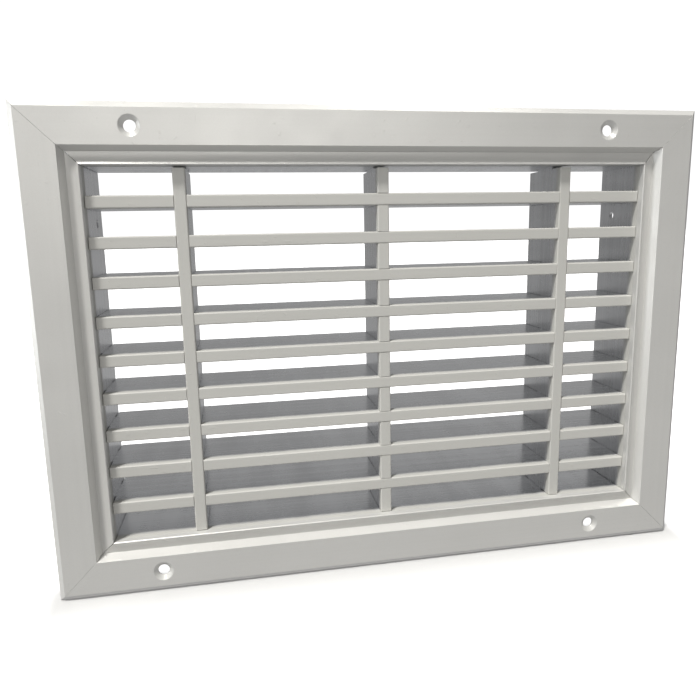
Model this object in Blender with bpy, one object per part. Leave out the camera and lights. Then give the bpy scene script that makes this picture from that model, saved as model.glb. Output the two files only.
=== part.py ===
"""Fixed-bar air grille for a 300 x 200 mm wall opening.

A mitred flange frame of four extruded rails covers the edge of the opening.
Behind its lip sits the core: a casing of four plates that holds nine
horizontal bars and three vertical bars, half-lapped into each other.

Frame of reference, in metres: the origin is the centre of the opening in the
plane of the wall. +X is to the right for someone facing the grille, +Y goes
into the wall and +Z is up.
"""

import math

import bmesh
import bpy
from mathutils import Matrix

MM = 0.001
GAP = 0.3 * MM              # between two pieces that touch
CUT_MARGIN = 2.0 * MM       # how far a cutter runs past the metal that it cuts
WELD_DISTANCE = 0.01 * MM
ROUND_BELOW = math.radians(25)   # faces that meet at less than this are shaded smooth

# Flange frame
FLANGE_WIDTH = 340 * MM
FLANGE_HEIGHT = 240 * MM
FLANGE_DEPTH = 7.0 * MM     # from the wall to the flat front face
CHAMFER_ACROSS = 2.7 * MM   # outer chamfer
CHAMFER_DEEP = 2.3 * MM
FACE_END = 19.1 * MM        # distances across the rail, from its outer edge
VALLEY_AT = 21.4 * MM
LIP_AT = 27.6 * MM
VALLEY_DEEP = 4.7 * MM      # depths behind the front face
LIP_DEEP = 2.6 * MM
LIP_ROUND = 0.4 * MM
COVE_STEPS = 6
COVE_SAG = 0.45 * MM        # how far the cove is hollowed below a straight line
FACE_WALL = 2.5 * MM        # thickness of the metal behind the face
FOOT_OUTER = 1.8 * MM       # width of the outer foot that stands on the wall
FOOT_INNER_AT = 20.3 * MM   # where the inner foot starts
CHANNEL_END = 17.6 * MM     # inner end of the channel's flat top
LEG_THICKNESS = 1.5 * MM    # spigot leg that goes into the opening
LEG_LENGTH = 10.0 * MM

# Screw holes in the flange
SCREW_SPACING_X = 238 * MM
SCREW_FROM_EDGE = 10.7 * MM
SCREW_HOLE_RADIUS = 2.8 * MM
SINK_RADIUS = 4.9 * MM      # countersink, at the face
SINK_DEEP = 1.7 * MM        # depth at which the countersink meets the hole
HOLE_SIDES = 32

# Core
CORE_FRONT = -0.4 * MM      # front plane of the bars and of the casing
CORE_DEPTH = 34.6 * MM
PLATE_THICKNESS = 2.0 * MM
BAR_COUNT = 9
BAR_THICKNESS = 6.0 * MM
BAR_PITCH = 19.0 * MM
MULLION_THICKNESS = 6.0 * MM
MULLION_SPACING = 99.3 * MM
MULLION_TOP_PLAY = 0.6 * MM # the vertical bars stand on the bottom plate, short of the top one
TENON_DEPTH = 16.0 * MM     # measured into the wall, like the core's depth
SIDE_HOLE_RADIUS = 2.0 * MM
SIDE_HOLE_FROM_REAR = 11.0 * MM
SIDE_HOLE_GAP_NUMBER = 2    # the gap, counted from the top, that it is in

# Corner cleats in the rails' channel
CLEAT_THICKNESS = 3.0 * MM
CLEAT_INSET = 3.2 * MM      # from the flange's outer edge
CLEAT_WIDTH = 12.6 * MM
CLEAT_ARM = 34.0 * MM

# Worked out from the above
OPENING_WIDTH = FLANGE_WIDTH - 2 * LIP_AT
OPENING_HEIGHT = FLANGE_HEIGHT - 2 * LIP_AT
FACE_Y = -FLANGE_DEPTH
CORE_REAR = CORE_FRONT + CORE_DEPTH
CORE_MIDDLE = (CORE_FRONT + CORE_REAR) / 2
MULLION_X = (-MULLION_SPACING, 0.0, MULLION_SPACING)


def clear_scene():
    for obj in list(bpy.data.objects):
        bpy.data.objects.remove(obj)


def new_collection(name):
    collection = bpy.data.collections.new(name)
    bpy.context.scene.collection.children.link(collection)
    return collection


def new_material(name, color, roughness, metallic):
    material = bpy.data.materials.new(name)
    material.use_nodes = True
    shader = material.node_tree.nodes["Principled BSDF"]
    shader.inputs["Base Color"].default_value = (*color, 1.0)
    shader.inputs["Roughness"].default_value = roughness
    shader.inputs["Metallic"].default_value = metallic
    material.diffuse_color = (*color, 1.0)
    return material


def paint(name):
    """Pale grey satin powder coat."""
    return new_material(name + "_paint", (0.62, 0.61, 0.58), 0.42, 0.0)


def mill_aluminium(name):
    """Bare rolled aluminium."""
    return new_material(name + "_aluminium", (0.50, 0.51, 0.53), 0.32, 1.0)


def bar_height(number):
    """Z of the centre line of a horizontal bar, numbered 1 to 9 from the top."""
    return ((BAR_COUNT + 1) / 2 - number) * BAR_PITCH


def extruded_outline(name, points, length, collection):
    """A flat closed outline in local XY, made a solid of this length along local Z."""
    curve = bpy.data.curves.new(name, "CURVE")
    curve.dimensions = "2D"
    curve.fill_mode = "BOTH"
    curve.extrude = length / 2
    spline = curve.splines.new("POLY")
    spline.points.add(len(points) - 1)
    for point, (x, y) in zip(spline.points, points):
        point.co = (x, y, 0.0, 1.0)
    spline.use_cyclic_u = True
    outline = bpy.data.objects.new(name + "_outline", curve)
    collection.objects.link(outline)
    graph = bpy.context.evaluated_depsgraph_get()
    mesh = bpy.data.meshes.new_from_object(outline.evaluated_get(graph))
    mesh.name = name
    bpy.data.objects.remove(outline)
    bpy.data.curves.remove(curve)
    weld(mesh)
    shade_round_faces(mesh)
    solid = bpy.data.objects.new(name, mesh)
    collection.objects.link(solid)
    return solid


def weld(mesh):
    """Join the loose caps of a curve's mesh to its sides."""
    shape = bmesh.new()
    shape.from_mesh(mesh)
    bmesh.ops.remove_doubles(shape, verts=shape.verts, dist=WELD_DISTANCE)
    bmesh.ops.recalc_face_normals(shape, faces=shape.faces)
    shape.to_mesh(mesh)
    shape.free()


def shade_round_faces(mesh):
    """Shade smooth the faces of coves and holes, and leave every other face flat."""
    shape = bmesh.new()
    shape.from_mesh(mesh)
    for edge in shape.edges:
        if 0.001 < edge.calc_face_angle() < ROUND_BELOW:
            for face in edge.link_faces:
                face.smooth = True
    shape.to_mesh(mesh)
    shape.free()


def cut(target, cutter):
    boolean = target.modifiers.new("cut_" + cutter.name, "BOOLEAN")
    boolean.operation = "DIFFERENCE"
    boolean.solver = "EXACT"
    boolean.object = cutter


def new_cutter(name, fill, location, cutters):
    """A cutter whose shape the function fill puts into an empty bmesh."""
    mesh = bpy.data.meshes.new(name)
    shape = bmesh.new()
    fill(shape)
    shape.to_mesh(mesh)
    shape.free()
    shade_round_faces(mesh)
    cutter = bpy.data.objects.new(name, mesh)
    cutter.location = location
    cutter.hide_render = True
    cutter.display_type = "WIRE"
    cutters.objects.link(cutter)
    return cutter


def block_cutter(name, size, location, cutters):
    def fill(shape):
        bmesh.ops.create_cube(shape, size=1.0, matrix=Matrix.Diagonal((*size, 1.0)))

    return new_cutter(name, fill, location, cutters)


def round_cutter(name, radius_near, radius_far, length, axis, location, cutters):
    """A cylinder or cone along Y or X; radius_near is at the lower end of the axis."""
    if axis == "Y":
        turn = Matrix.Rotation(math.radians(-90), 4, "X")
    else:
        turn = Matrix.Rotation(math.radians(90), 4, "Y")

    def fill(shape):
        bmesh.ops.create_cone(
            shape,
            cap_ends=True,
            segments=HOLE_SIDES,
            radius1=radius_near,
            radius2=radius_far,
            depth=length,
            matrix=turn,
        )

    return new_cutter(name, fill, location, cutters)


def rail_section():
    """Section of a frame rail: (distance in from the outer edge, world Y)."""
    front = [
        (0.0, 0.0),
        (0.0, FACE_Y + CHAMFER_DEEP),
        (CHAMFER_ACROSS, FACE_Y),
        (FACE_END, FACE_Y),
    ]
    lip_start = LIP_AT - LIP_ROUND
    for step in range(COVE_STEPS + 1):
        along = step / COVE_STEPS
        across = VALLEY_AT + along * (lip_start - VALLEY_AT)
        straight = VALLEY_DEEP + along * (LIP_DEEP - VALLEY_DEEP)
        hollow = COVE_SAG * 4 * along * (1 - along)
        front.append((across, FACE_Y + straight + hollow))
    leg_inner = LIP_AT - PLATE_THICKNESS - GAP
    leg_outer = leg_inner - LEG_THICKNESS
    channel_top = FACE_Y + FACE_WALL
    back = [
        (LIP_AT, FACE_Y + LIP_DEEP + LIP_ROUND),
        (LIP_AT, CORE_FRONT - GAP),
        (leg_inner, CORE_FRONT - GAP),
        (leg_inner, LEG_LENGTH),
        (leg_outer, LEG_LENGTH),
        (leg_outer, 0.0),
        (FOOT_INNER_AT, 0.0),
        (FOOT_INNER_AT, FACE_Y + VALLEY_DEEP + FACE_WALL / 2),
        (CHANNEL_END, channel_top),
        (FOOT_OUTER, channel_top),
        (FOOT_OUTER, 0.0),
    ]
    return front + back


def frame_rail(name, length, screw_holes, turn, parts, cutters):
    """One rail. It is made as the top rail, then turned about Y to its own side.

    The section's first coordinate runs down from the outer edge, so the
    extrusion lies along local Z and is laid along world X.
    """
    rail = extruded_outline(name, rail_section(), length, parts)
    for vertex in rail.data.vertices:
        # 45 degree mitres: each end steps back by its distance from the outer edge.
        shorten = vertex.co.x + GAP / 2 * math.sqrt(2)
        vertex.co.z -= math.copysign(shorten, vertex.co.z)
    # Local X comes to run down, local Y into the wall and local Z to the right.
    lay = Matrix(((0, 0, 1, 0), (0, 1, 0, 0), (-1, 0, 0, 0), (0, 0, 0, 1)))
    rail.data.transform(lay)
    outer_edge = (FLANGE_HEIGHT if screw_holes else FLANGE_WIDTH) / 2
    rail.data.transform(Matrix.Translation((0, 0, outer_edge)))
    rail.rotation_euler.y = turn
    if screw_holes:
        height = math.cos(turn) * (outer_edge - SCREW_FROM_EDGE)
        for side in (-1, 1):
            cut_screw_hole(rail, side, height, cutters)
    rail.data.materials.append(paint(name))
    return rail


def cut_screw_hole(rail, side, height, cutters):
    """A countersunk hole through the rail's face."""
    x = side * SCREW_SPACING_X / 2
    label = rail.name + ("_right" if side > 0 else "_left")
    # The cone starts in front of the face and ends inside the hole.
    slope = (SINK_RADIUS - SCREW_HOLE_RADIUS) / SINK_DEEP
    tip_radius = SCREW_HOLE_RADIUS / 2
    cone_length = CUT_MARGIN + (SINK_RADIUS - tip_radius) / slope
    sink = round_cutter(
        label + "_sink",
        SINK_RADIUS + slope * CUT_MARGIN,
        tip_radius,
        cone_length,
        "Y",
        (x, FACE_Y - CUT_MARGIN + cone_length / 2, height),
        cutters,
    )
    hole = round_cutter(
        label + "_hole",
        SCREW_HOLE_RADIUS,
        SCREW_HOLE_RADIUS,
        FACE_WALL + 2 * CUT_MARGIN,
        "Y",
        (x, FACE_Y + FACE_WALL / 2, height),
        cutters,
    )
    cut(rail, sink)
    cut(rail, hole)


def slot_cutter(name, thickness, along_plate, plate_middle, cutters):
    """The slot that one tenon needs. along_plate is 'X' or 'Z', the bar's own axis."""
    through = PLATE_THICKNESS + 2 * CUT_MARGIN
    wide = thickness + 2 * GAP
    deep = TENON_DEPTH + 2 * GAP
    if along_plate == "X":
        size = (through, deep, wide)
    else:
        size = (wide, deep, through)
    return block_cutter(name, size, plate_middle, cutters)


def core_side_plate(name, side, parts, cutters):
    """Left or right plate of the casing, with a slot for each horizontal bar."""
    height = OPENING_HEIGHT + 2 * PLATE_THICKNESS
    x = side * (OPENING_WIDTH + PLATE_THICKNESS) / 2
    plate = plate_solid(name, (PLATE_THICKNESS, CORE_DEPTH, height), (x, CORE_MIDDLE, 0), parts)
    for number in range(1, BAR_COUNT + 1):
        place = (x, CORE_MIDDLE, bar_height(number))
        cut(plate, slot_cutter(f"{name}_slot_{number}", BAR_THICKNESS, "X", place, cutters))
    gap_middle = bar_height(SIDE_HOLE_GAP_NUMBER) + BAR_PITCH / 2
    hole = round_cutter(
        name + "_screw_hole",
        SIDE_HOLE_RADIUS,
        SIDE_HOLE_RADIUS,
        PLATE_THICKNESS + 2 * CUT_MARGIN,
        "X",
        (x, CORE_REAR - SIDE_HOLE_FROM_REAR, gap_middle),
        cutters,
    )
    cut(plate, hole)
    return plate


def core_end_plate(name, side, parts, cutters):
    """Top or bottom plate, between the side plates, with a slot for each vertical bar."""
    width = OPENING_WIDTH - 2 * GAP
    z = side * (OPENING_HEIGHT + PLATE_THICKNESS) / 2
    plate = plate_solid(name, (width, CORE_DEPTH, PLATE_THICKNESS), (0, CORE_MIDDLE, z), parts)
    for number, x in enumerate(MULLION_X, start=1):
        place = (x, CORE_MIDDLE, z)
        cut(plate, slot_cutter(f"{name}_slot_{number}", MULLION_THICKNESS, "Z", place, cutters))
    return plate


def plate_solid(name, size, location, parts):
    mesh = bpy.data.meshes.new(name)
    shape = bmesh.new()
    bmesh.ops.create_cube(shape, size=1.0, matrix=Matrix.Diagonal((*size, 1.0)))
    shape.to_mesh(mesh)
    shape.free()
    plate = bpy.data.objects.new(name, mesh)
    plate.location = location
    plate.data.materials.append(mill_aluminium(name))
    parts.objects.link(plate)
    return plate


def edge_with_notches(notches, low, high, edge, depth, half_width):
    """Points along one long edge of a bar, from its low end to its high end."""
    points = [(low, edge)]
    for place in notches:
        points.append((place - half_width, edge))
        points.append((place - half_width, depth))
        points.append((place + half_width, depth))
        points.append((place + half_width, edge))
    points.append((high, edge))
    return points


def tenon(end, tip):
    """The tenon at one end of a bar, from the front to the rear."""
    front = CORE_MIDDLE - TENON_DEPTH / 2
    rear = CORE_MIDDLE + TENON_DEPTH / 2
    return [(end, front), (tip, front), (tip, rear), (end, rear)]


def bar_outline(length, front_notches, rear_notches, crossing_thickness, end_play):
    """Outline of a half-lapped flat bar with a tenon at each end.

    The first coordinate runs along the bar and the second is world Y. The bar's
    high end, with its tenon, stops short by end_play.
    """
    half = length / 2 - GAP
    tip = length / 2 + PLATE_THICKNESS - GAP
    half_width = crossing_thickness / 2 + GAP
    front_depth = CORE_MIDDLE + GAP / 2
    rear_depth = CORE_MIDDLE - GAP / 2
    low, high = -half, half - end_play
    front = edge_with_notches(front_notches, low, high, CORE_FRONT, front_depth, half_width)
    rear = edge_with_notches(rear_notches, low, high, CORE_REAR, rear_depth, half_width)
    rear.reverse()
    high_tenon = tenon(high, tip - end_play)
    low_tenon = tenon(low, -tip)
    low_tenon.reverse()
    return front + high_tenon + rear + low_tenon


def horizontal_bar(number, parts):
    """The outer vertical bars pass in front of it and it passes in front of the centre one."""
    name = f"horizontal_bar_{number}"
    left, centre, right = MULLION_X
    outline = bar_outline(OPENING_WIDTH, (left, right), (centre,), MULLION_THICKNESS, 0.0)
    bar = extruded_outline(name, outline, BAR_THICKNESS, parts)
    bar.location.z = bar_height(number)
    bar.data.materials.append(paint(name))
    return bar


def vertical_bar(name, x, in_front, parts):
    crossings = sorted(bar_height(number) for number in range(1, BAR_COUNT + 1))
    front_notches = () if in_front else crossings
    rear_notches = crossings if in_front else ()
    outline = bar_outline(
        OPENING_HEIGHT, front_notches, rear_notches, BAR_THICKNESS, MULLION_TOP_PLAY
    )
    bar = extruded_outline(name, outline, MULLION_THICKNESS, parts)
    # Stand it up: its length along +Z and its thickness across X.
    bar.rotation_euler = (0, math.radians(-90), 0)
    bar.location.x = x
    bar.data.materials.append(paint(name))
    return bar


def corner_cleat(name, side_x, side_z, parts):
    """Flat L-shaped cleat that joins two rails in their channel."""
    near = CLEAT_INSET
    wide = CLEAT_INSET + CLEAT_WIDTH
    far = CLEAT_INSET + CLEAT_ARM
    # Distances in from the flange's corner, along X and along Z.
    insets = [(near, near), (far, near), (far, wide), (wide, wide), (wide, far), (near, far)]
    outline = []
    for inset_x, inset_z in insets:
        x = side_x * (FLANGE_WIDTH / 2 - inset_x)
        z = side_z * (FLANGE_HEIGHT / 2 - inset_z)
        outline.append((x, z))
    cleat = extruded_outline(name, outline, CLEAT_THICKNESS, parts)
    cleat.rotation_euler.x = math.radians(90)
    cleat.location.y = FACE_Y + FACE_WALL + GAP + CLEAT_THICKNESS / 2
    cleat.data.materials.append(mill_aluminium(name))
    return cleat


def main():
    clear_scene()
    parts = new_collection("air_grille")
    cutters = new_collection("cutters")

    frame_rail("frame_rail_top", FLANGE_WIDTH, True, 0.0, parts, cutters)
    frame_rail("frame_rail_right", FLANGE_HEIGHT, False, math.radians(90), parts, cutters)
    frame_rail("frame_rail_bottom", FLANGE_WIDTH, True, math.radians(180), parts, cutters)
    frame_rail("frame_rail_left", FLANGE_HEIGHT, False, math.radians(270), parts, cutters)

    for side_x, word_x in ((-1, "left"), (1, "right")):
        for side_z, word_z in ((1, "top"), (-1, "bottom")):
            corner_cleat(f"corner_cleat_{word_z}_{word_x}", side_x, side_z, parts)

    core_side_plate("core_plate_left", -1, parts, cutters)
    core_side_plate("core_plate_right", 1, parts, cutters)
    core_end_plate("core_plate_top", 1, parts, cutters)
    core_end_plate("core_plate_bottom", -1, parts, cutters)

    for number in range(1, BAR_COUNT + 1):
        horizontal_bar(number, parts)
    for name, x in zip(("left", "centre", "right"), MULLION_X):
        vertical_bar("vertical_bar_" + name, x, name != "centre", parts)


main()
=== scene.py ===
"""Looks of the fixed-bar air grille.

Each piece of the grille is a finely edged copy of its CAD node: the arrises and
the valley behind the face are rounded, and the joints close to fine seams. The
frame carries a satin coat with a metallic sheen. The bars and the casing are
painted at the front, and the paint thins out into bare aluminium deeper in.
"""

import math
from collections import namedtuple

import bmesh
import bpy
from mathutils import Matrix, Vector


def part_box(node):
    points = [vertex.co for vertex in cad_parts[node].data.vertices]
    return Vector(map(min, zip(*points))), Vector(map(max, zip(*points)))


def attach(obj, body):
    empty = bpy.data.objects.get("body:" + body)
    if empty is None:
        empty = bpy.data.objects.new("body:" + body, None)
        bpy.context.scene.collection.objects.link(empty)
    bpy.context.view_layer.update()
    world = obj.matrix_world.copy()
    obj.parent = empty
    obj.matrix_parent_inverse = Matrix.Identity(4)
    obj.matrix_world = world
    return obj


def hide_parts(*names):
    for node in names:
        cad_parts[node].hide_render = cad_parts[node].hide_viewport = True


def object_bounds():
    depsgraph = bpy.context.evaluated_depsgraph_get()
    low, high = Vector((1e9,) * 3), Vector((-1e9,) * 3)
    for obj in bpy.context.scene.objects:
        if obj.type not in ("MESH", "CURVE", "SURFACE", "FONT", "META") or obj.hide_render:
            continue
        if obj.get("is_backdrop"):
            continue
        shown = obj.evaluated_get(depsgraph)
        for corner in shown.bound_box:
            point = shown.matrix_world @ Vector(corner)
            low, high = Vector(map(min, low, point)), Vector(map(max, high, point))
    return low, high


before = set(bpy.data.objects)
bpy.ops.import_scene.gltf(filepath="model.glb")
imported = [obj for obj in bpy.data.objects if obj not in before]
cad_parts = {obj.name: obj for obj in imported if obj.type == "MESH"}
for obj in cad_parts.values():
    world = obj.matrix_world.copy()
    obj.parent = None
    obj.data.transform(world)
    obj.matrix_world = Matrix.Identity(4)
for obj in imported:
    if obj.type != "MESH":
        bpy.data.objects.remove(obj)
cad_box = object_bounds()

MM = 0.001

# Camera: where it stands and how it is turned, in the row's frame
CAMERA_PLACE = (-0.0730, -0.3057, 0.0598)
CAMERA_HEADING = math.radians(10.12)
CAMERA_PITCH = math.radians(-9.87)
CAMERA_ROLL = math.radians(1.15)
CAMERA_LENS = 31.2
CAMERA_SHIFT_Y = -0.0173
CAMERA_CLIP_START = 10 * MM

# Reading a CAD node's mesh
WELD_DISTANCE = 0.01 * MM
FLAT_WITHIN = math.radians(0.5)
SHARP_OVER = math.radians(25)
CLOSE = 0.02 * MM            # two coordinates nearer than this are the same
LONGEST_HOLE_EDGE = 2 * MM   # the facets of a round hole are shorter than this
VALLEY_DEEP = 4.7 * MM       # a rail's valley lies this far behind its face

# Bevels, in millimetres
BEVEL_UNIT = 1 * MM          # width of the bevel on an edge whose weight is 1
BEVEL_SEGMENTS = 3
ARRIS = 0.25
LIP_ARRIS = 0.1
FINE_ARRIS = 0.06
PLATE_ARRIS = 0.15
BAR_NOSE = 0.7
SINK_RIM = 0.3
VALLEY_ROUND = 0.9

# How far pieces are drawn out towards each other where they meet
PLAY = 0.3 * MM              # between CAD nodes that touch
TIGHT_PLAY = 0.05 * MM       # left at the bars' crossings, in the plates' slots and behind the lip
MITRE_REACH = 0.17 * MM      # at each end of a rail, along it
LIP_REACH = 0.04 * MM        # the same from its valley to its lip, where the joint shows dark

# Finish
FRAME_COAT = (0.645, 0.64, 0.62)
FRAME_METALLIC = 0.25
FRAME_ROUGHNESS = (0.33, 0.42)
BAR_COAT = (0.545, 0.540, 0.512)
BAR_ROUGHNESS = (0.45, 0.55)
BARE = (0.60, 0.605, 0.615)
BARE_ROUGHNESS = (0.20, 0.34)
COAT_ENDS = (2 * MM, 6 * MM)   # depth behind the bars' fronts over which the coat thins out
COAT_RAGGED = 1 * MM           # how far its edge wanders to either side

# Light. The room's levels are radiances towards each side, on top of its base level.
ROOM_BASE = 0.06
ROOM_ABOVE = 0.18
ROOM_BELOW = 0.55
ROOM_RIGHT = 0.15
ROOM_BEHIND = 0.28
BACKDROP = 1.1                 # what the camera sees behind the grille
SUN_TOWARDS = (-1.1, -1.05, 2.75)
SUN_WIDTH = math.radians(10)
SUN_STRENGTH = 3.4
WARM = (1.0, 0.985, 0.95)
COOL = (0.96, 0.985, 1.0)
# name: (place, diameter, power, colour); each one faces the grille's centre
SOFT_LIGHTS = {
    "overhead": ((0.20, 0.05, 0.75), 0.3, 1.0, WARM),
    "left_window": ((-1.20, -0.08, 0.08), 0.6, 4.8, COOL),
    "left_fill": ((-1.25, -0.72, 0.39), 0.9, 0.9, COOL),
    "upper_fill": ((-0.50, -1.15, 0.50), 0.9, 2.2, WARM),
    "front_left": ((-0.12, -1.30, 0.32), 0.5, 1.3, WARM),
    "front_right": ((0.25, -1.30, 0.32), 0.5, 1.4, WARM),
}

# Floor
FLOOR_HALF_WIDTH = 30
FLOOR_DROP = 0.2 * MM          # below the grille's lower edge
FLOOR_COLOR = (0.6, 0.6, 0.6, 1.0)
FLOOR_ROUGHNESS = 0.9
FLOOR_GLOW_WITH_PAINTED_SHADOW = (0.0, 1.0)        # emission next to the grille and away from it; its fall to nothing next to the grille is a painted shadow
# Distances from the grille's lower edge over which the glow rises: the reach of the painted shadow
PAINTED_SHADOW_REACH = (5 * MM, 60 * MM)
PAINTED_SHADOW_SHORTER = 4          # how many times sooner it rises beside and behind the grille, where the painted shadow is shorter

Finish = namedtuple("Finish", "color roughness metallic normal")


# ---------------------------------------------------------------- geometry

def welded(node):
    """A bmesh of a CAD node's shape, with its flat faces whole."""
    shape = bmesh.new()
    shape.from_mesh(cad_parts[node].data)
    bmesh.ops.remove_doubles(shape, verts=shape.verts, dist=WELD_DISTANCE)
    bmesh.ops.dissolve_limit(
        shape, angle_limit=FLAT_WITHIN, verts=shape.verts, edges=shape.edges
    )
    return shape


def all_at(edge, axis, value):
    """Whether both ends of an edge have this coordinate."""
    return all(abs(vertex.co[axis] - value) < CLOSE for vertex in edge.verts)


def runs_along_x(node):
    low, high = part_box(node)
    return high.x - low.x > high.z - low.z


def give_bevels(shape, width_of):
    """Write each sharp edge's bevel, in millimetres, as its weight."""
    weight = shape.edges.layers.float.new("bevel_weight_edge")
    for edge in shape.edges:
        if edge.is_manifold and edge.calc_face_angle() > SHARP_OVER:
            edge[weight] = width_of(edge)
    for face in shape.faces:
        face.smooth = True


def make_piece(node, shape, material):
    """Turn the shape into the piece that stands for the node."""
    mesh = bpy.data.meshes.new(node + "_finished")
    shape.to_mesh(mesh)
    shape.free()
    if "custom_normal" in mesh.attributes:
        mesh.attributes.remove(mesh.attributes["custom_normal"])
    mesh.materials.clear()
    mesh.materials.append(material)
    piece = bpy.data.objects.new(node + "_finished", mesh)
    bpy.context.scene.collection.objects.link(piece)
    bevel = piece.modifiers.new("arrises", "BEVEL")
    bevel.limit_method = "WEIGHT"
    bevel.width = BEVEL_UNIT
    bevel.segments = BEVEL_SEGMENTS
    bevel.harden_normals = True
    bevel.use_clamp_overlap = True
    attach(piece, "root")
    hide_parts(node)


def finish_rail(node, material):
    """A frame rail, its mitres drawn out to close on the next rail's."""
    low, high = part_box(node)
    along, across = (0, 2) if runs_along_x(node) else (2, 0)
    middle = (low + high) / 2
    half_length = (high[along] - low[along]) / 2
    outer = max(low[across], high[across], key=abs)
    inner = min(low[across], high[across], key=abs)
    shape = welded(node)

    def past_mitre(point):
        """How far a point is outside its end's mitre plane, along the rail."""
        inward = abs(outer - point[across])
        return abs(point[along] - middle[along]) + inward - half_length

    for vertex in shape.verts:
        if abs(past_mitre(vertex.co)) < CLOSE:
            by_lip = abs(vertex.co[across] - inner) < abs(vertex.co[across] - outer)
            reach = LIP_REACH if by_lip and vertex.co.y > low.y + CLOSE else MITRE_REACH
            vertex.co[along] += math.copysign(reach, vertex.co[along])

    def width_of(edge):
        if all(past_mitre(vertex.co) > LIP_REACH - CLOSE for vertex in edge.verts):
            return FINE_ARRIS
        if all_at(edge, 1, low.y + VALLEY_DEEP):
            return VALLEY_ROUND
        if all_at(edge, across, inner):
            return LIP_ARRIS
        if edge.calc_length() > LONGEST_HOLE_EDGE:
            return ARRIS
        return SINK_RIM if all_at(edge, 1, low.y) else FINE_ARRIS

    give_bevels(shape, width_of)
    make_piece(node, shape, material)


def close_notches(shape, axis, crossing):
    """Bring the sides of notches or slots up to the bars that fill them."""
    for node in (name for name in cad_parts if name.startswith(crossing)):
        low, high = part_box(node)
        for side, outward in ((low[axis], -1), (high[axis], 1)):
            for vertex in shape.verts:
                if abs(vertex.co[axis] - side - outward * PLAY) < CLOSE:
                    vertex.co[axis] = side + outward * TIGHT_PLAY


def finish_bar(node, material):
    """A flat bar: the arrises along its front are rounded most."""
    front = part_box(node)[0].y
    lies = runs_along_x(node)
    along, across, crossing = (0, 2, "vertical_bar") if lies else (2, 0, "horizontal_bar")
    shape = welded(node)
    close_notches(shape, along, crossing)

    def width_of(edge):
        if not all_at(edge, 1, front):
            return PLATE_ARRIS
        return BAR_NOSE if all_at(edge, across, edge.verts[0].co[across]) else FINE_ARRIS

    give_bevels(shape, width_of)
    make_piece(node, shape, material)


def finish_plate(node, material):
    """A casing plate, its front edge brought up behind the lip."""
    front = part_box(node)[0].y
    reached = front - PLAY + TIGHT_PLAY
    along, crossing = (0, "vertical_bar") if runs_along_x(node) else (2, "horizontal_bar")
    shape = welded(node)
    close_notches(shape, along, crossing)
    for vertex in shape.verts:
        if abs(vertex.co.y - front) < CLOSE:
            vertex.co.y = reached
    give_bevels(shape, lambda edge: FINE_ARRIS if all_at(edge, 1, reached) else PLATE_ARRIS)
    make_piece(node, shape, material)


def finish_cleat(node, material):
    shape = welded(node)
    give_bevels(shape, lambda edge: PLATE_ARRIS)
    make_piece(node, shape, material)


# ---------------------------------------------------------------- materials

class Graph:
    """Short names for adding and joining shader nodes."""

    # For each kind of mix: the sockets of its first and second inputs and its output
    MIX_SOCKETS = {"FLOAT": (2, 3, 0), "VECTOR": (4, 5, 1), "RGBA": (6, 7, 2)}

    def __init__(self, tree):
        self.tree = tree

    def put(self, socket, value):
        """Join another node's output to the socket, or set it to a plain value."""
        if isinstance(value, bpy.types.NodeSocket):
            self.tree.links.new(value, socket)
        else:
            socket.default_value = value

    def add(self, kind, settings=None, **inputs):
        """A node. An underscore in an input's name stands for a space."""
        node = self.tree.nodes.new(kind)
        for name, value in (settings or {}).items():
            setattr(node, name, value)
        for name, value in inputs.items():
            self.put(node.inputs[name.replace("_", " ")], value)
        return node

    def math(self, operation, *values):
        node = self.add("ShaderNodeMath", {"operation": operation})
        for socket, value in zip(node.inputs, values):
            self.put(socket, value)
        return node.outputs["Value"]

    def remap(self, value, source, target, curve="LINEAR"):
        """The value, clamped to the source range and taken to the target range."""
        return self.add(
            "ShaderNodeMapRange", {"interpolation_type": curve}, Value=value,
            From_Min=source[0], From_Max=source[1], To_Min=target[0], To_Max=target[1],
        ).outputs["Result"]

    def mix(self, kind, amount, first, second):
        node = self.add("ShaderNodeMix", {"data_type": kind})
        first_socket, second_socket, output = self.MIX_SOCKETS[kind]
        self.put(node.inputs[0], amount)
        self.put(node.inputs[first_socket], first)
        self.put(node.inputs[second_socket], second)
        return node.outputs[output]

    def place(self, stretch=(1, 1, 1)):
        """Position in the row's frame, in metres, stretched."""
        position = self.add("ShaderNodeTexCoord").outputs["Object"]
        return self.add("ShaderNodeMapping", Vector=position, Scale=stretch).outputs["Vector"]

    def noise(self, scale, detail=2.0, roughness=0.5, stretch=(1, 1, 1)):
        return self.add(
            "ShaderNodeTexNoise", Vector=self.place(stretch), Scale=scale,
            Detail=detail, Roughness=roughness,
        ).outputs["Fac"]

    def bump(self, height, distance, normal=None):
        node = self.add("ShaderNodeBump", Height=height, Distance=distance, Strength=1.0)
        if normal is not None:
            self.put(node.inputs["Normal"], normal)
        return node.outputs["Normal"]


def new_material(name):
    material = bpy.data.materials.new(name)
    material.use_nodes = True
    return material, Graph(material.node_tree)


def shade(material, graph, finish):
    """Join a finish to the material's shader."""
    shader = material.node_tree.nodes["Principled BSDF"]
    graph.put(shader.inputs["Base Color"], finish.color)
    graph.put(shader.inputs["Roughness"], finish.roughness)
    graph.put(shader.inputs["Metallic"], finish.metallic)
    graph.put(shader.inputs["Normal"], finish.normal)
    return material


def tint(color, factor):
    return (*(channel * factor for channel in color), 1.0)


def lengthwise(axis, along, across):
    """A stretch of texture space that draws a pattern out along one axis."""
    return [along if letter == axis else across for letter in "XYZ"]


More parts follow.
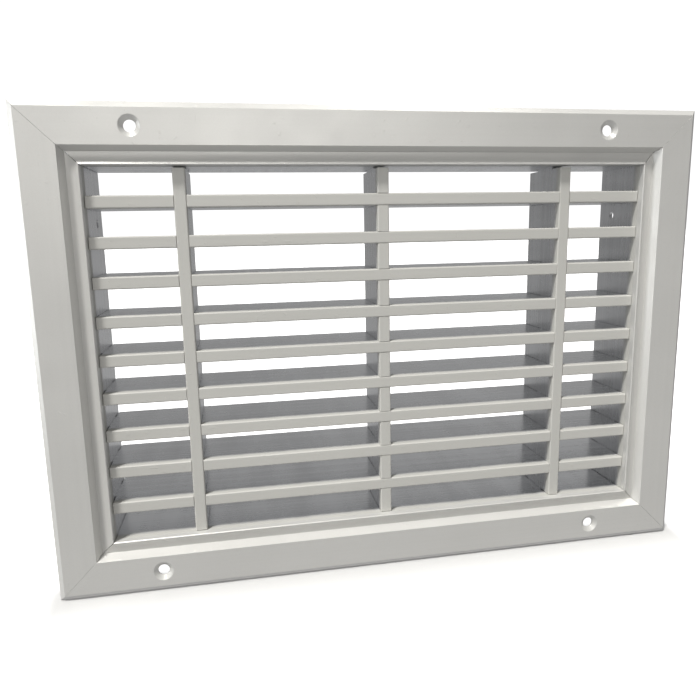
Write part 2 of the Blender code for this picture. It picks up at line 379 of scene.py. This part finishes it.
def coat(graph, axis, base, roughness, metallic):
    """Powder coat on a piece that runs along axis, over its faint extrusion lines."""
    cloud = graph.noise(scale=14, detail=3, roughness=0.55)
    grain = graph.noise(scale=2200, detail=2, roughness=0.6)
    orange_peel = graph.noise(scale=900, detail=2, roughness=0.5)
    lines = graph.noise(scale=1, detail=3, roughness=0.6, stretch=lengthwise(axis, 1.5, 420))
    specks = graph.remap(graph.noise(scale=420, detail=0), (0.74, 0.80), (0, 1), "SMOOTHSTEP")
    tone = graph.math("MULTIPLY", cloud, 0.45)
    tone = graph.math("MULTIPLY_ADD", grain, 0.30, tone)
    tone = graph.math("MULTIPLY_ADD", lines, 0.25, tone)
    normal = graph.bump(lines, 0.016 * MM)
    normal = graph.bump(orange_peel, 0.006 * MM, normal)
    normal = graph.bump(specks, 0.05 * MM, normal)
    lightness = graph.remap(tone, (0.3, 0.7), (0, 1))
    gloss = graph.noise(scale=60, detail=3)
    return Finish(
        color=graph.mix("RGBA", lightness, tint(base, 0.95), tint(base, 1.05)),
        roughness=graph.remap(gloss, (0.3, 0.7), roughness),
        metallic=metallic,
        normal=normal,
    )


def bare(graph, axis):
    """Extruded aluminium, drawn along axis. Its soft streaks from front to back are painted
    reflections, laid into its colour.
    """
    scratches = graph.noise(scale=1, detail=4, roughness=0.65, stretch=lengthwise(axis, 6, 1500))
    bands = graph.noise(scale=1, detail=2, roughness=0.5, stretch=lengthwise(axis, 1, 160))
    painted_reflection_streaks = graph.noise(scale=60, detail=2, roughness=0.6, stretch=(1, 0.15, 1))
    # Tone: real scratches and extrusion bands, with painted reflections as the streaks from front to
    # back
    tone = graph.math("MULTIPLY", painted_reflection_streaks, 0.40)
    tone = graph.math("MULTIPLY_ADD", scratches, 0.30, tone)
    tone = graph.math("MULTIPLY_ADD", bands, 0.30, tone)
    lightness = graph.remap(tone, (0.38, 0.62), (0, 1))
    return Finish(
        color=graph.mix("RGBA", lightness, tint(BARE, 0.85), tint(BARE, 1.15)),
        roughness=graph.remap(tone, (0.35, 0.65), BARE_ROUGHNESS),
        metallic=1.0,
        normal=graph.bump(scratches, 0.012 * MM),
    )


def coat_over_bare(graph, axis, front):
    """The bars' coat, thinning out into bare aluminium behind their fronts."""
    over = coat(graph, axis, BAR_COAT, BAR_ROUGHNESS, 0.0)
    under = bare(graph, axis)
    depth = graph.add("ShaderNodeSeparateXYZ", Vector=graph.place()).outputs["Y"]
    ragged = graph.noise(scale=90, detail=3, roughness=0.6)
    wander = graph.math("MULTIPLY_ADD", ragged, 2 * COAT_RAGGED, -COAT_RAGGED)
    starts, ends = (front + distance for distance in COAT_ENDS)
    bareness = graph.remap(graph.math("ADD", depth, wander), (starts, ends), (0, 1), "SMOOTHSTEP")
    return Finish(
        color=graph.mix("RGBA", bareness, over.color, under.color),
        roughness=graph.mix("FLOAT", bareness, over.roughness, under.roughness),
        metallic=bareness,
        normal=graph.mix("VECTOR", bareness, over.normal, under.normal),
    )


def frame_material(axis):
    material, graph = new_material("frame_coat_" + axis.lower())
    return shade(material, graph, coat(graph, axis, FRAME_COAT, FRAME_ROUGHNESS, FRAME_METALLIC))


def core_material(axis, front):
    material, graph = new_material("core_coat_" + axis.lower())
    return shade(material, graph, coat_over_bare(graph, axis, front))


def cleat_material():
    material, graph = new_material("mill_aluminium")
    return shade(material, graph, bare(graph, "X"))


# ---------------------------------------------------------------- stage

def add_floor():
    """A pale floor that takes the grille's shadow and gives no light back to it. Its glow also fades
    out next to the grille, as a painted shadow.
    """
    mesh = bpy.data.meshes.new("floor")
    shape = bmesh.new()
    bmesh.ops.create_grid(shape, x_segments=1, y_segments=1, size=FLOOR_HALF_WIDTH)
    shape.to_mesh(mesh)
    shape.free()
    floor = bpy.data.objects.new("floor", mesh)
    floor.location.z = cad_box[0].z - FLOOR_DROP
    bpy.context.scene.collection.objects.link(floor)
    floor.visible_diffuse = False
    floor.visible_glossy = False
    material, graph = new_material("pale_floor_with_painted_shadow")
    mesh.materials.append(material)
    # Distance across the floor from the grille's lower edge, drawn in beside and behind it; the glow
    # rises with it, so a painted shadow lies next to the grille
    axes = graph.add("ShaderNodeSeparateXYZ", Vector=graph.place())
    beyond_end = graph.math("SUBTRACT", graph.math("ABSOLUTE", axes.outputs["X"]), cad_box[1].x)
    beside = graph.math("MULTIPLY", graph.math("MAXIMUM", beyond_end, 0.0), PAINTED_SHADOW_SHORTER)
    in_front = graph.math("MINIMUM", axes.outputs["Y"], 0.0)
    behind = graph.math("MULTIPLY", graph.math("MAXIMUM", axes.outputs["Y"], 0.0), PAINTED_SHADOW_SHORTER)
    place = graph.add("ShaderNodeCombineXYZ", X=beside, Y=in_front, Z=behind)
    distance = graph.add(
        "ShaderNodeVectorMath", {"operation": "LENGTH"}, Vector=place.outputs[0]
    ).outputs["Value"]
    shader = material.node_tree.nodes["Principled BSDF"]
    shader.inputs["Base Color"].default_value = FLOOR_COLOR
    shader.inputs["Roughness"].default_value = FLOOR_ROUGHNESS
    shader.inputs["Emission Color"].default_value = (1, 1, 1, 1)
    # Emission fades to nothing next to the grille: a painted shadow on the floor
    glow_with_painted_shadow = graph.remap(distance, PAINTED_SHADOW_REACH, FLOOR_GLOW_WITH_PAINTED_SHADOW, "SMOOTHSTEP")
    graph.put(shader.inputs["Emission Strength"], glow_with_painted_shadow)
    floor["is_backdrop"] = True


def add_world():
    """White to the camera; to the grille, a dim room that is lighter below and behind."""
    world = bpy.data.worlds.new("studio")
    world.use_nodes = True
    bpy.context.scene.world = world
    world.node_tree.nodes.clear()
    graph = Graph(world.node_tree)
    direction = graph.add("ShaderNodeTexCoord").outputs["Generated"]
    axes = graph.add("ShaderNodeSeparateXYZ", Vector=direction).outputs
    level = ROOM_BASE
    for axis, towards in (("Z", ROOM_ABOVE), ("Z", -ROOM_BELOW), ("X", ROOM_RIGHT), ("Y", ROOM_BEHIND)):
        side = graph.math("MAXIMUM", graph.math("MULTIPLY", axes[axis], towards), 0.0)
        level = graph.math("ADD", side, level)
    room = graph.add("ShaderNodeBackground", Color=(1, 1, 1, 1), Strength=level)
    white = graph.add("ShaderNodeBackground", Color=(1, 1, 1, 1), Strength=BACKDROP)
    choose = graph.add("ShaderNodeMixShader")
    seen = graph.add("ShaderNodeLightPath").outputs["Is Camera Ray"]
    for socket, value in zip(choose.inputs, (seen, room.outputs[0], white.outputs[0])):
        graph.put(socket, value)
    graph.add("ShaderNodeOutputWorld", Surface=choose.outputs[0])


def add_light(name, kind, energy, color):
    data = bpy.data.lights.new(name, kind)
    data.energy = energy
    data.color = color
    light = bpy.data.objects.new(name, data)
    light.rotation_mode = "QUATERNION"
    bpy.context.scene.collection.objects.link(light)
    return light


def add_lights():
    sun = add_light("sun", "SUN", SUN_STRENGTH, WARM)
    sun.data.angle = SUN_WIDTH
    sun.rotation_quaternion = (-Vector(SUN_TOWARDS)).to_track_quat("-Z", "Y")
    for name, (place, size, power, color) in SOFT_LIGHTS.items():
        light = add_light(name, "AREA", power, color)
        light.data.shape = "DISK"
        light.data.size = size
        light.location = place
        light.rotation_quaternion = (-Vector(place)).to_track_quat("-Z", "Y")


def add_camera():
    data = bpy.data.cameras.new("camera")
    data.lens = CAMERA_LENS
    data.shift_y = CAMERA_SHIFT_Y
    data.clip_start = CAMERA_CLIP_START
    camera = bpy.data.objects.new("camera", data)
    # From looking straight down: tip up to the horizon, then pitch, turn and roll.
    turned = Matrix.Rotation(-CAMERA_HEADING, 4, "Z") @ Matrix.Rotation(
        math.radians(90) + CAMERA_PITCH, 4, "X"
    )
    camera.matrix_world = (
        Matrix.Translation(CAMERA_PLACE) @ turned @ Matrix.Rotation(-CAMERA_ROLL, 4, "Z")
    )
    bpy.context.scene.collection.objects.link(camera)
    bpy.context.scene.camera = camera


def finish_all():
    core_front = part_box("horizontal_bar_5")[0].y
    frame_coats = {axis: frame_material(axis) for axis in "XZ"}
    core_coats = {axis: core_material(axis, core_front) for axis in "XZ"}
    mill = cleat_material()
    for node in sorted(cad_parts):
        axis = "X" if runs_along_x(node) else "Z"
        if node.startswith("frame_rail"):
            finish_rail(node, frame_coats[axis])
        elif "_bar_" in node:
            finish_bar(node, core_coats[axis])
        elif node.startswith("core_plate"):
            finish_plate(node, core_coats[axis])
        else:
            finish_cleat(node, mill)


def write_sizes():
    visual_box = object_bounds()
    boxes = {"cad": cad_box, "visual": visual_box}
    sizes = {name: [list(corner) for corner in box] for name, box in boxes.items()}


finish_all()
add_floor()
add_world()
add_lights()
add_camera()
bpy.context.scene.view_settings.view_transform = "Standard"
write_sizes()
